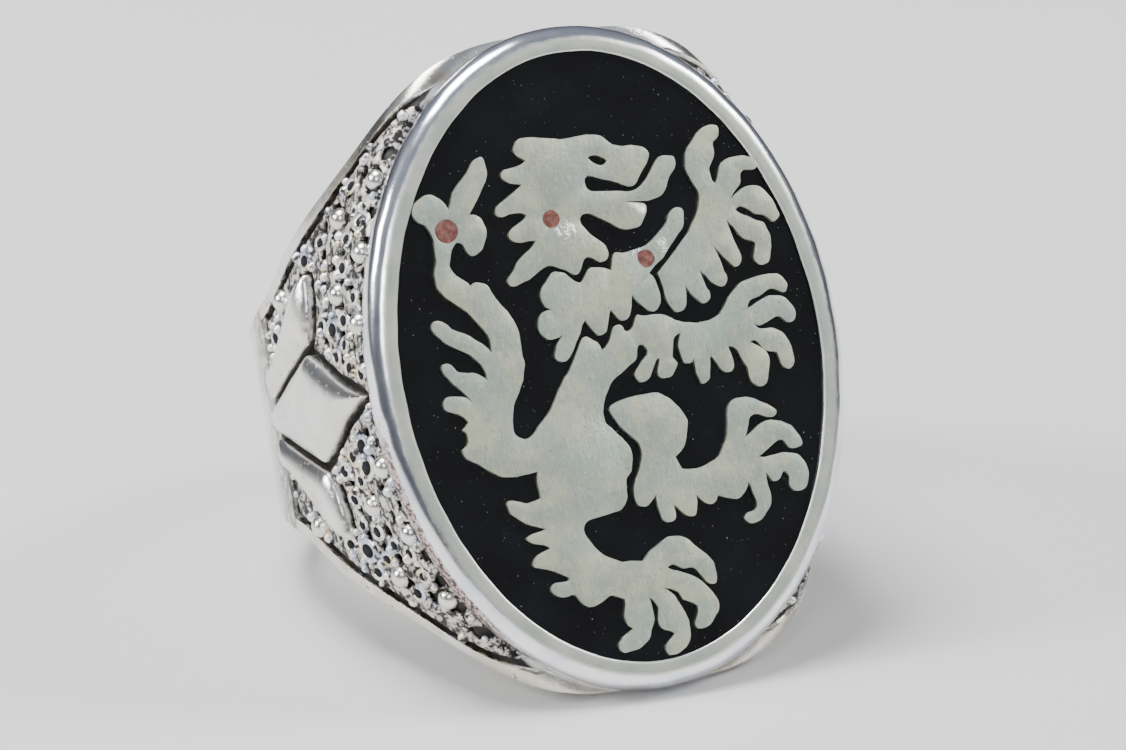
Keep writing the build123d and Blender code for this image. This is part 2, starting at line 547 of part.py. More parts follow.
# ---- lay the ring down and write the pieces ----
pieces = {
    "shank": shank,
    "cheek_left": cheek_left,
    "cheek_right": cheek_right,
    "face_plate": face_plate,
    "bezel_frame": bezel_frame,
    "enamel_ground": enamel_ground,
    "copper_pins": copper_pins,
    "rail_upper_left": rail_upper_left,
    "rail_lower_left": rail_lower_left,
    "rail_upper_right": rail_upper_right,
    "rail_lower_right": rail_lower_right,
    "tulip_centre_left": tulip_centre_left,
    "tulip_centre_right": tulip_centre_right,
    "leaf_upper_left": leaf_upper_left,
    "leaf_lower_left": leaf_lower_left,
    "leaf_upper_right": leaf_upper_right,
    "leaf_lower_right": leaf_lower_right,
    "granules_left": granules_left,
    "granules_right": granules_right,
    "filigree_left": filigree_left,
    "filigree_right": filigree_right,
    **figures,
}
tilt = math.degrees(math.atan2(girth_z - band_half, hoop_r - seat_y))
laid = Location((0, 0, 0), (-tilt, 0, 0))
box = Compound(children=[piece.part.moved(laid) for piece in pieces.values()]).bounding_box()
rest = Pos(0, -box.center().Y, -box.min.Z) * laid

for name, piece in pieces.items():
    piece.part = piece.part.moved(rest)
    piece.part.label = name
    export_step(piece.part, f"parts/{name}.step")

print("tilt", round(tilt, 3), "size", box.size, "bore centre", rest.position)
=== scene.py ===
import json
import math
import random

import bmesh
import bpy
from mathutils import Euler, Matrix, Vector, noise
from mathutils.bvhtree import BVHTree
from mathutils.kdtree import KDTree


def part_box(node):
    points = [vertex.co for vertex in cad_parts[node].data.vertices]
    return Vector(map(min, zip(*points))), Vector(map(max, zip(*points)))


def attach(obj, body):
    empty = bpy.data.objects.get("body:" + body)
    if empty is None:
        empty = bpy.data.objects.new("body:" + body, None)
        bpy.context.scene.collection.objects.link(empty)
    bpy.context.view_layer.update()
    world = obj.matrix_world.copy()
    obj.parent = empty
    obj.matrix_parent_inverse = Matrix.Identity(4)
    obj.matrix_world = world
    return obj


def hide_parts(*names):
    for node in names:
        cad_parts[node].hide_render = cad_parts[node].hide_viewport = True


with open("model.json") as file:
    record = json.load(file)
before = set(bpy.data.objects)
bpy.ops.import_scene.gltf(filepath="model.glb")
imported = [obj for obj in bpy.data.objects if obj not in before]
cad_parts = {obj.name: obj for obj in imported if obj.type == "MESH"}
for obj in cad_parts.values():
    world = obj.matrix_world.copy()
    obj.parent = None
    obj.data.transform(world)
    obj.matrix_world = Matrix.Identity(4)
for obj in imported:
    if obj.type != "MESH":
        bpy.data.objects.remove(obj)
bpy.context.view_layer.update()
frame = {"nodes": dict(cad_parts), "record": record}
cadNodes = frame["nodes"]
mm = 0.001

# The ring's own frame: X across the face, Y to the back of the finger, Z along the finger.
hole = next(mount for mount in frame["record"]["mounts"] if mount["name"] == "finger_hole")
holeCentre = Vector(hole["pos_m"])
holeAxis = Vector(hole["axis"])
ringTurn = Euler((-math.atan2(holeAxis.y, holeAxis.z), 0, 0))
ringToWorld = Matrix.Translation(holeCentre) @ ringTurn.to_matrix().to_4x4()
worldToRing = ringToWorld.inverted()
turnToRing = worldToRing.to_3x3()
turnToWorld = turnToRing.inverted()


class Wire:
    # one socket of a node tree, so that a mask reads as a sum
    def __init__(self, tree, socket=None):
        self.tree = tree
        self.socket = socket

    def node(self, kind, settings=None, values=None, out=0):
        made = self.tree.nodes.new(kind)
        for name, value in (settings or {}).items():
            setattr(made, name, value)
        for name, value in (values or {}).items():
            if isinstance(value, Wire):
                self.tree.links.new(value.socket, made.inputs[name])
            else:
                made.inputs[name].default_value = value
        return Wire(self.tree, made.outputs[out])

    def maths(self, operation, first, second=0.0):
        return self.node("ShaderNodeMath", {"operation": operation}, {0: first, 1: second})

    def __add__(self, other):
        return self.maths("ADD", self, other)

    def __sub__(self, other):
        return self.maths("SUBTRACT", self, other)

    def __rsub__(self, other):
        return self.maths("SUBTRACT", other, self)

    def __mul__(self, other):
        return self.maths("MULTIPLY", self, other)

    __radd__ = __add__
    __rmul__ = __mul__

    def clip(self):
        return self.node("ShaderNodeClamp", {}, {0: self})

    def step(self, low, high):
        return self.node(
            "ShaderNodeMapRange", {"interpolation_type": "SMOOTHSTEP"},
            {"Value": self, "From Min": low, "From Max": high})

    def noise(self, scale, detail, rough):
        return self.node(
            "ShaderNodeTexNoise", {},
            {"Vector": self, "Scale": scale, "Detail": detail, "Roughness": rough})

    def stretch(self, factors):
        return self.node("ShaderNodeVectorMath", {"operation": "MULTIPLY"}, {0: self, 1: factors})

    def axes(self):
        return [self.node("ShaderNodeSeparateXYZ", {}, {0: self}, axis) for axis in range(3)]

    def blend(self, first, second):
        # self is the mask between two colours; 0, 6, 7 and 2 are the colour sockets of a Mix node
        return self.node("ShaderNodeMix", {"data_type": "RGBA"}, {0: self, 6: first, 7: second}, 2)


def rgb(red, green, blue):
    return (red, green, blue, 1.0)


def newMaterial(name):
    # the material, its shader, and the place on the ring in millimetres
    material = bpy.data.materials.new(name)
    material.use_nodes = True
    tree = material.node_tree
    place = Wire(tree).node("ShaderNodeTexCoord", out="Object")
    place = place.node(
        "ShaderNodeMapping", {"vector_type": "TEXTURE"},
        {"Vector": place, "Location": holeCentre, "Rotation": ringTurn, "Scale": (mm, mm, mm)})
    return material, tree.nodes["Principled BSDF"], place


def plug(shader, name, value):
    if isinstance(value, Wire):
        value.tree.links.new(value.socket, shader.inputs[name])
    else:
        shader.inputs[name].default_value = value


def plugBump(shader, height, strength, depth):
    bumped = height.node(
        "ShaderNodeBump", {}, {"Height": height, "Strength": strength, "Distance": depth * mm})
    plug(shader, "Normal", bumped)


# Noises are (scale in 1/mm, detail, roughness), steps are (from, to), depths are in mm.
silverLook = {
    "bright": rgb(0.84, 0.83, 0.81), "warm": rgb(0.66, 0.58, 0.44),
    # the grime colour paints the shade where the band meets the shoulders
    "cool": rgb(0.50, 0.54, 0.62), "dark": rgb(0.045, 0.042, 0.045), "grime": rgb(0.10, 0.095, 0.09),
    "clouds": (0.55, 4.0, 0.6), "cloudStep": (0.40, 0.62),
    "cools": (0.9, 2.0, 0.5), "coolStep": (0.50, 0.75), "coolShare": 0.3,
    "fine": (5.0, 5.0, 0.65), "scratches": (3.0, 2.0, 0.5), "scratchStretch": (2.0, 9.0, 14.0),
    "pits": (3.6, 2.0, 0.6), "pitStep": (0.66, 0.74), "pitRough": 0.3,
    # where the painted shade at the band's seam falls, and how ragged and spotty it is
    "seamFront": (-0.6, 0.1), "seamBack": (1.6, 3.0), "seamWaver": (1.2, 3.0, 0.6), "seamReach": 2.0,
    "seamSpots": (2.6, 4.0, 0.7), "seamSpotStep": (0.36, 0.56),
    "bump": (0.35, 0.03),
}


def polishedSilver(name, gloss, wear, dirt, warmTarnishAndReflection, seamShade=0.0):
    # bright silver with cloudy tarnish (on the rails partly a painted warm reflection), fine scratches, grime
    # in small pits and, where asked, painted shade where the band meets the shoulders
    material, shader, place = newMaterial(name)
    look = silverLook
    fine = place.noise(*look["fine"])
    scratches = place.stretch(look["scratchStretch"]).noise(*look["scratches"])
    pits = place.noise(*look["pits"]).step(*look["pitStep"])
    # the warm clouds are tarnish; on the rails their larger share is partly a painted warm reflection
    tarnish = place.noise(*look["clouds"]).step(*look["cloudStep"]) * warmTarnishAndReflection
    cool = place.noise(*look["cools"]).step(*look["coolStep"]) * look["coolShare"]
    colour = tarnish.blend(look["bright"], look["warm"])
    colour = cool.blend(colour, look["cool"])
    colour = (pits * dirt).blend(colour, look["dark"])
    if seamShade:
        # painted shade where the band meets the shoulders, in ragged spots
        back = place.axes()[1]
        ragged = back + place.noise(*look["seamWaver"]) * look["seamReach"]
        near = back.step(*look["seamFront"]) * (1.0 - ragged.step(*look["seamBack"]))
        spots = place.noise(*look["seamSpots"]).step(*look["seamSpotStep"])
        colour = (near * spots * seamShade).blend(colour, look["grime"])
    plug(shader, "Base Color", colour)
    plug(shader, "Metallic", 1.0)
    plug(shader, "Roughness", (gloss + fine * wear + scratches * wear * 0.5 + pits * look["pitRough"]).clip())
    plugBump(shader, fine * 0.5 + scratches * 0.5 - pits * dirt * 2.0, *look["bump"])
    return material


lionLook = {
    "dull": rgb(0.54, 0.61, 0.50), "olive": rgb(0.76, 0.77, 0.58), "blue": rgb(0.50, 0.62, 0.58),
    "streak": rgb(1.0, 1.0, 0.92), "worn": rgb(0.94, 0.92, 0.76), "pock": rgb(0.38, 0.38, 0.30),
    "solder": rgb(0.95, 0.95, 0.95),
    "clouds": (0.8, 5.0, 0.66), "cloudStep": (0.36, 0.64),
    "blues": (0.45, 3.0, 0.5), "blueStep": (0.46, 0.62), "blueShare": 0.5,
    "fine": (9.0, 4.0, 0.7), "pocks": (5.5, 2.0, 0.6), "wornStep": (0.60, 0.70), "wornShare": 0.5,
    "pockStep": (0.30, 0.38), "pockShare": 0.6,
    "brushing": (14.0, 1.0, 1.6), "streaks": (1.4, 3.0, 0.6), "streakStep": (0.52, 0.72),
    "streakShare": 0.5,
    # bright solder beside two of the pins, as (x, z, reach)
    "solderSpots": ((-1.15, 5.25, 0.62), (1.75, 4.0, 0.45), (2.9, 4.05, 0.5)),
    "solderWaver": (2.4, 3.0, 0.6), "solderEdge": (0.8, 1.25),
    "solderLumps": (3.2, 4.0, 0.7), "lumpStep": (0.42, 0.52),
    "rough": 0.33, "roughFine": 0.16, "roughStreak": 0.08, "smoothSolder": 0.2,
    "bump": (0.32, 0.04),
}


def satinSilver():
    # the flat lion: grey-green silver brushed by hand, mottled
    material, shader, place = newMaterial("satinSilver")
    look = lionLook
    fine = place.noise(*look["fine"])
    pocks = place.noise(*look["pocks"])
    streaks = place.stretch(look["brushing"]).noise(*look["streaks"])
    colour = place.noise(*look["clouds"]).step(*look["cloudStep"]).blend(look["dull"], look["olive"])
    blues = place.noise(*look["blues"]).step(*look["blueStep"])
    colour = (blues * look["blueShare"]).blend(colour, look["blue"])
    colour = (streaks.step(*look["streakStep"]) * look["streakShare"]).blend(colour, look["streak"])
    colour = (pocks.step(*look["wornStep"]) * look["wornShare"]).blend(colour, look["worn"])
    colour = ((1.0 - pocks.step(*look["pockStep"])) * look["pockShare"]).blend(colour, look["pock"])
    x, _, z = place.axes()
    waver = place.noise(*look["solderWaver"]) * 0.5
    inner, outer = look["solderEdge"]
    solder = 0.0
    for spotX, spotZ, reach in look["solderSpots"]:
        square = (x - spotX) * (x - spotX) + (z - spotZ) * (z - spotZ)
        away = square.maths("SQRT", square) + waver
        solder = solder + (1.0 - away.step(reach * inner, reach * outer))
    solder = solder.clip() * place.noise(*look["solderLumps"]).step(*look["lumpStep"])
    rough = look["rough"] + fine * look["roughFine"] + streaks * look["roughStreak"]
    plug(shader, "Base Color", solder.blend(colour, look["solder"]))
    plug(shader, "Metallic", 1.0)
    plug(shader, "Roughness", (rough - solder * look["smoothSolder"]).clip())
    plugBump(shader, fine * 0.6 + streaks * 0.5 + pocks + solder * 2.0, *look["bump"])
    return material


bezelLook = {
    "flat": (rgb(0.66, 0.71, 0.62), rgb(0.90, 0.91, 0.80)),
    # the wall's blue-white clouds are a painted reflection along the rolled edge
    "wall": (rgb(0.93, 0.93, 0.95), rgb(0.70, 0.71, 0.82)),
    "stain": rgb(0.60, 0.42, 0.36), "pit": rgb(0.09, 0.07, 0.07), "stainShare": 0.7,
    "clouds": (0.5, 4.0, 0.6), "cloudStep": (0.35, 0.7), "fine": (7.0, 5.0, 0.7),
    "edgeWaver": (1.6, 2.0, 0.5), "edgeWaverDepth": 0.06, "edgeStep": (0.03, 0.12),
    # the pitted stretch of the wall: left of the middle, below it, and behind the rim
    "pittedLeft": (4.0, 6.5), "pittedTop": (0.5, 3.0), "pittedEnd": (9.0, 11.5),
    "pittedDepth": (0.36, 0.50), "pits": (4.5, 4.0, 0.75), "pitStep": (0.47, 0.53),
    "rough": 0.36, "wallGloss": 0.24, "roughFine": 0.12, "roughPitted": 0.25,
    "bump": (0.4, 0.04),
}


def bezelSilver(rimY):
    # the flat rim is satin, the rolled edge and the wall are polished with bluish clouds of painted
    # reflection, and one stretch is pitted
    material, shader, place = newMaterial("bezelSilver")
    look = bezelLook
    x, y, z = place.axes()
    clouds = place.noise(*look["clouds"]).step(*look["cloudStep"])
    fine = place.noise(*look["fine"])
    edgeLow, edgeHigh = look["edgeStep"]
    wavering = y + place.noise(*look["edgeWaver"]) * look["edgeWaverDepth"]
    wall = wavering.step(rimY + edgeLow, rimY + edgeHigh)
    down, left = z * -1.0, x * -1.0
    pitted = down.step(*look["pittedTop"]) * (1.0 - down.step(*look["pittedEnd"]))
    pitted = pitted * left.step(*look["pittedLeft"]) * (y - rimY).step(*look["pittedDepth"])
    pits = place.noise(*look["pits"]).step(*look["pitStep"]) * pitted
    # the wall's bluish clouds paint a reflection into the colour
    colour = wall.blend(clouds.blend(*look["flat"]), clouds.blend(*look["wall"]))
    colour = (pitted * look["stainShare"]).blend(colour, look["stain"])
    colour = pits.blend(colour, look["pit"])
    rough = look["rough"] - wall * look["wallGloss"] + fine * look["roughFine"]
    plug(shader, "Base Color", colour)
    plug(shader, "Metallic", 1.0)
    plug(shader, "Roughness", (rough + pitted * look["roughPitted"]).clip())
    plugBump(shader, fine * 0.5 * (1.15 - wall) - pits * 2.5, *look["bump"])
    return material


enamelLook = {
    "black": rgb(0.003, 0.003, 0.0035), "haze": rgb(0.006, 0.0065, 0.009), "speck": rgb(0.35, 0.36, 0.36),
    "clouds": (0.35, 4.0, 0.6), "cloudStep": (0.3, 0.8),
    "specks": (11.0, 1.0, 0.4), "speckStep": (0.76, 0.80), "speckShare": 0.6,
    "rough": 0.10, "roughHaze": 0.12, "roughSpeck": 0.3,
    "IOR": 1.28, "Coat Weight": 0.1, "Coat Roughness": 0.08,
    "ripple": (1.1, 3.0, 0.5), "bump": (0.25, 0.04),
}


def blackEnamel():
    material, shader, place = newMaterial("blackEnamel")
    look = enamelLook
    clouds = place.noise(*look["clouds"]).step(*look["cloudStep"])
    specks = place.noise(*look["specks"]).step(*look["speckStep"])
    colour = clouds.blend(look["black"], look["haze"])
    plug(shader, "Base Color", (specks * look["speckShare"]).blend(colour, look["speck"]))
    plug(shader, "Roughness", look["rough"] + clouds * look["roughHaze"] + specks * look["roughSpeck"])
    for name in ("IOR", "Coat Weight", "Coat Roughness"):
        plug(shader, name, look[name])
    plugBump(shader, place.noise(*look["ripple"]), *look["bump"])
    return material


cheekLook = {
    "black": (rgb(0.008, 0.008, 0.010), rgb(0.05, 0.046, 0.044)),
    "clean": (rgb(0.80, 0.79, 0.77), rgb(0.64, 0.60, 0.53)),
    "clouds": (2.2, 5.0, 0.7), "cloudStep": (0.35, 0.7),
    "tarnish": (0.6, 4.0, 0.6), "tarnishStep": (0.45, 0.75), "outwardStep": (0.2, 0.35),
    "rough": 0.24, "roughBlack": 0.3, "roughClouds": 0.2, "blackMetal": 0.6,
    "bump": (0.4, 0.05),
}


def oxidisedSilver():
    # the flanks under the openwork are black, the faces towards the finger are plain silver
    material, shader, place = newMaterial("oxidisedSilver")
    look = cheekLook
    x = place.axes()[0]
    facing = place.node("ShaderNodeTexCoord", out="Normal").axes()[0]
    outward = (facing * x.maths("SIGN", x)).step(*look["outwardStep"])
    clouds = place.noise(*look["clouds"])
    black = clouds.step(*look["cloudStep"]).blend(*look["black"])
    clean = place.noise(*look["tarnish"]).step(*look["tarnishStep"]).blend(*look["clean"])
    plug(shader, "Base Color", outward.blend(clean, black))
    plug(shader, "Metallic", 1.0 - outward * look["blackMetal"])
    plug(shader, "Roughness", look["rough"] + outward * look["roughBlack"] + clouds * look["roughClouds"])
    plugBump(shader, clouds, *look["bump"])
    return material


castLook = {
    "bright": rgb(0.92, 0.92, 0.93), "yellow": rgb(0.88, 0.74, 0.50), "blue": rgb(0.66, 0.72, 0.84),
    "grime": rgb(0.06, 0.055, 0.055),
    "clouds": (1.3, 5.0, 0.7), "cloudStep": (0.46, 0.60), "blues": (0.7, 2.0, 0.5),
    "grimes": (2.3, 4.0, 0.65), "patchStep": (0.50, 0.62), "fine": (6.0, 5.0, 0.7),
    "rough": 0.18, "roughFine": 0.25, "bump": (0.6, 0.06),
}


def castSilver():
    # openwork: bright where rubbed, yellow and black where grime stays
    material, shader, place = newMaterial("castSilver")
    look = castLook
    clouds = place.noise(*look["clouds"])
    fine = place.noise(*look["fine"])
    colour = clouds.step(*look["cloudStep"]).blend(look["bright"], look["yellow"])
    colour = place.noise(*look["blues"]).step(*look["patchStep"]).blend(colour, look["blue"])
    colour = place.noise(*look["grimes"]).step(*look["patchStep"]).blend(colour, look["grime"])
    plug(shader, "Base Color", colour)
    plug(shader, "Metallic", 1.0)
    plug(shader, "Roughness", look["rough"] + fine * look["roughFine"])
    plugBump(shader, fine + clouds, *look["bump"])
    return material


mottledLooks = {
    # the pierced sheet under the wires, half of it black in cloudy patches
    "sheetSilver": {
        "clouds": (2.6, 5.0, 0.7), "cloudStep": (0.45, 0.57), "metal": 0.9, "IOR": 1.5,
        "colours": (rgb(0.022, 0.020, 0.022), rgb(0.70, 0.67, 0.62)),
        "rough": 0.34, "roughClouds": 0.3, "bump": (0.6, 0.08)},
    # painted shadow: the black of the discs that stand for the shade inside the cells
    "paintedCellShadow": {
        "clouds": (3.0, 4.0, 0.6), "cloudStep": None, "metal": 0.0, "IOR": 1.2,
        "colours": (rgb(0.004, 0.004, 0.006), rgb(0.022, 0.022, 0.028)),
        "rough": 0.6, "roughClouds": 0.3, "bump": (0.6, 0.06)},
    "copperMetal": {
        "clouds": (4.0, 4.0, 0.65), "cloudStep": (0.35, 0.7), "metal": 0.9, "IOR": 1.5,
        "colours": (rgb(0.22, 0.085, 0.07), rgb(0.40, 0.20, 0.17)),
        "rough": 0.42, "roughClouds": 0.2, "bump": (0.5, 0.04)},
}


def mottledMetal(name):
    material, shader, place = newMaterial(name)
    look = mottledLooks[name]
    clouds = place.noise(*look["clouds"])
    mask = clouds.step(*look["cloudStep"]) if look["cloudStep"] else clouds
    plug(shader, "Base Color", mask.blend(*look["colours"]))
    plug(shader, "Metallic", look["metal"])
    plug(shader, "Roughness", look["rough"] + clouds * look["roughClouds"])
    plug(shader, "IOR", look["IOR"])
    plugBump(shader, clouds, *look["bump"])
    return material


def ringBox(node):
    # the lowest and highest value of a CAD node along each of the ring's axes, in millimetres
    points = [(worldToRing @ v.co) / mm for v in cadNodes[node].data.vertices]
    return [(min(p[axis] for p in points), max(p[axis] for p in points)) for axis in range(3)]


bezelBox = ringBox("bezel_frame")
looks = {
    # the shank's seam value paints shade where the band meets the shoulders
    "shank": polishedSilver("shankSilver", gloss=0.12, wear=0.12, dirt=0.5, warmTarnishAndReflection=0.3, seamShade=0.8),
    "bezel": bezelSilver(bezelBox[1][0]),
    "petal": polishedSilver("petalSilver", gloss=0.16, wear=0.10, dirt=0.35, warmTarnishAndReflection=0.3),
    # the rails' strong warmth is partly a painted warm reflection, beside real tarnish
    "rail": polishedSilver("railSilver", gloss=0.10, wear=0.14, dirt=0.5, warmTarnishAndReflection=0.75),
    "lion": satinSilver(),
    "enamel": blackEnamel(),
    "ground": oxidisedSilver(),
    "cast": castSilver(),
    "sheet": mottledMetal("sheetSilver"),
    # the black of the cells' painted shadow discs
    "pit": mottledMetal("paintedCellShadow"),
    "copper": mottledMetal("copperMetal"),
}
print("materials made")


def deselectAll():
    for other in bpy.context.selected_objects:
        other.select_set(False)


def pick(piece):
    deselectAll()
    piece.select_set(True)
    bpy.context.view_layer.objects.active = piece


def setLook(piece, look):
    piece.data.materials.clear()
    piece.data.materials.append(looks[look])


def finishPiece(piece, look, slot, *nodes):
    setLook(piece, look)
    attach(piece, "root")
    if nodes:
        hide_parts(*nodes)


def applyModifier(piece, kind, **settings):
    pick(piece)
    modifier = piece.modifiers.new(kind.lower(), kind)
    for name, value in settings.items():
        setattr(modifier, name, value)
    bpy.ops.object.modifier_apply(modifier=modifier.name)


def shadeSmooth(piece, degrees):
    pick(piece)
    bpy.ops.object.shade_smooth_by_angle(angle=math.radians(degrees))


copySet = {"merge": 0.002 * mm, "flat": math.radians(1), "anyShape": math.radians(180)}


def copyNode(node, name):
    # a CAD node's shape as a new piece, its loose triangles merged
    piece = cadNodes[node].copy()
    piece.data = piece.data.copy()
    piece.name = name
    piece.parent = None
    piece.matrix_world = Matrix.Identity(4)
    bpy.context.scene.collection.objects.link(piece)
    pick(piece)
    bpy.ops.object.mode_set(mode="EDIT")
    bpy.ops.mesh.select_all(action="SELECT")
    bpy.ops.mesh.remove_doubles(threshold=copySet["merge"])
    bpy.ops.mesh.tris_convert_to_quads(face_threshold=copySet["flat"], shape_threshold=copySet["anyShape"])
    bpy.ops.object.mode_set(mode="OBJECT")
    return piece


def roundedCopy(node, name, edge, steps, corner=50):
    # the same shape with its corners worn round
    piece = copyNode(node, name)
    applyModifier(piece, "BEVEL", width=edge * mm, segments=steps,
                  limit_method="ANGLE", angle_limit=math.radians(corner))
    return piece


def softenedCopy(node, name, voxel, strength, rounds):
    # the same shape with all its edges melted, as a rubbed casting has them
    piece = copyNode(node, name)
    applyModifier(piece, "REMESH", mode="VOXEL", voxel_size=voxel * mm, use_smooth_shade=True)
    applyModifier(piece, "SMOOTH", factor=strength, iterations=rounds)
    return piece


viewSet = {
    # angles in degrees, and the image's scale per millimetre; holeAt is where the bore centre shows
    "turn": 22.3, "height": 21.9, "roll": -0.5, "distance": 280 * mm, "sensor": 36.0,
    "imageScale": 23.85, "imageWidth": 1126, "holeAt": (511.5, 381.5), "imageMiddle": (563.0, 375.0),
    "clipStart": 0.01,
}


def addCamera():
    turn, height = math.radians(viewSet["turn"]), math.radians(viewSet["height"])
    away = Vector((-math.sin(turn) * math.cos(height), -math.cos(turn) * math.cos(height), math.sin(height)))
    bpy.ops.object.camera_add(location=holeCentre + away * viewSet["distance"])
    camera = bpy.context.object
    camera.rotation_mode = "QUATERNION"
    roll = Euler((0, 0, math.radians(viewSet["roll"]))).to_quaternion()
    camera.rotation_quaternion = (-away).to_track_quat("-Z", "Y") @ roll
    (holeX, holeY), (middleX, middleY) = viewSet["holeAt"], viewSet["imageMiddle"]
    width = viewSet["imageWidth"]
    lens = camera.data
    lens.sensor_width = viewSet["sensor"]
    lens.lens = viewSet["sensor"] * viewSet["imageScale"] * viewSet["distance"] / mm / width
    lens.shift_x = (middleX - holeX) / width
    lens.shift_y = (holeY - middleY) / width
    lens.clip_start = viewSet["clipStart"]
    bpy.context.scene.camera = camera


floorSet = {
    "size": 3.0, "colours": (rgb(0.62, 0.62, 0.61), rgb(0.68, 0.68, 0.67)), "clouds": (0.02, 3.0, 0.5),
    "rough": 0.6,
}
lightSet = {
    # place, size and power of each soft panel
    "overhead": ((-0.10, 0.10, 0.45), 0.24, 3.4),
    "leftWindow": ((-0.42, 0.10, 0.24), 0.14, 2.2),
    "frontFill": ((-0.30, -0.45, 0.40), 0.18, 0.9),
    "faceCard": ((0.22, -0.52, 0.28), 0.50, 0.22),
    "rightFill": ((0.38, -0.10, 0.30), 0.16, 1.6),
}
roomSet = {
    "horizon": rgb(0.11, 0.115, 0.13), "ceiling": rgb(0.55, 0.60, 0.70), "rise": (-0.1, 0.9),
    "strength": 0.50,
}


def addFloor():
    deselectAll()
    bpy.ops.mesh.primitive_plane_add(size=floorSet["size"], location=(0, 0, 0))
    floor = bpy.context.object
    floor.name = "floor"
    material, shader, place = newMaterial("paleFloor")
    plug(shader, "Base Color", place.noise(*floorSet["clouds"]).blend(*floorSet["colours"]))
    plug(shader, "Roughness", floorSet["rough"])
    floor.data.materials.append(material)


def addLights():
    for name, (place, size, power) in lightSet.items():
        bpy.ops.object.light_add(type="AREA", location=place)
        lamp = bpy.context.object
        lamp.name = name
        lamp.data.shape = "DISK"
        lamp.data.size = size
        lamp.data.energy = power
        lamp.rotation_euler = (holeCentre - Vector(place)).to_track_quat("-Z", "Y").to_euler()
    world = bpy.data.worlds.new("softRoom")
    bpy.context.scene.world = world
    world.use_nodes = True
    up = Wire(world.node_tree).node("ShaderNodeTexCoord", out="Generated").axes()[2]
    background = world.node_tree.nodes["Background"]
    plug(background, "Color", up.step(*roomSet["rise"]).blend(roomSet["horizon"], roomSet["ceiling"]))
    plug(background, "Strength", roomSet["strength"])


addCamera()
addFloor()
addLights()
print("camera and stage made")

for node, look in (("face_plate", "shank"), ("enamel_ground", "enamel"), ("copper_pins", "copper"),
                   ("cheek_left", "ground"), ("cheek_right", "ground")):
    setLook(cadNodes[node], look)

lionSet = {
    "pieces": ("lion_head", "lion_chest", "lion_raised_foreleg", "lion_body", "lion_hind_leg"),
    "edge": 0.05, "steps": 3, "waver": 0.06, "waverPitch": 0.42, "otherWaver": (7.3, 0, 2.1), "smooth": 40,
}


def waverEdges(piece):
    # small shifts in the plane of the face, the same through the whole thickness, as filed by hand
    for v in piece.data.vertices:
        spot = (worldToRing @ v.co) / (lionSet["waverPitch"] * mm)
        spot.y = 0.0
        shift = Vector((noise.noise(spot), 0, noise.noise(spot + Vector(lionSet["otherWaver"]))))
        v.co += turnToWorld @ (shift * lionSet["waver"] * mm)
    piece.data.update()


for node in lionSet["pieces"]:
    piece = roundedCopy(node, node + "_metal", lionSet["edge"], lionSet["steps"])
    waverEdges(piece)
    shadeSmooth(piece, lionSet["smooth"])
    finishPiece(piece, "lion", "satin_silver", node)
print("lion made")

bezelSet = {
    "sides": 288, "frontRound": 0.80, "frontSteps": 9, "innerRound": 0.10, "innerSteps": 3,
    "seatRound": 0.12, "seatSteps": 2, "waver": 0.035, "waverPitch": 1.1, "smooth": 40,
    # shares of the girth that tell the opening's edge from the outer one
    "insideFrom": 0.5, "outsideFrom": 0.96, "outsideTo": 1.5, "roundShare": 0.02, "near": 0.001,
}


def selectInEdit(piece, kind, wanted):
    # selects the faces or edges that answer to wanted
    bpy.ops.mesh.select_mode(type=kind)
    bpy.ops.mesh.select_all(action="DESELECT")
    shape = bmesh.from_edit_mesh(piece.data)
    for part in (shape.faces if kind == "FACE" else shape.edges):
        if wanted(part):
            part.select = True
    bmesh.update_edit_mesh(piece.data)


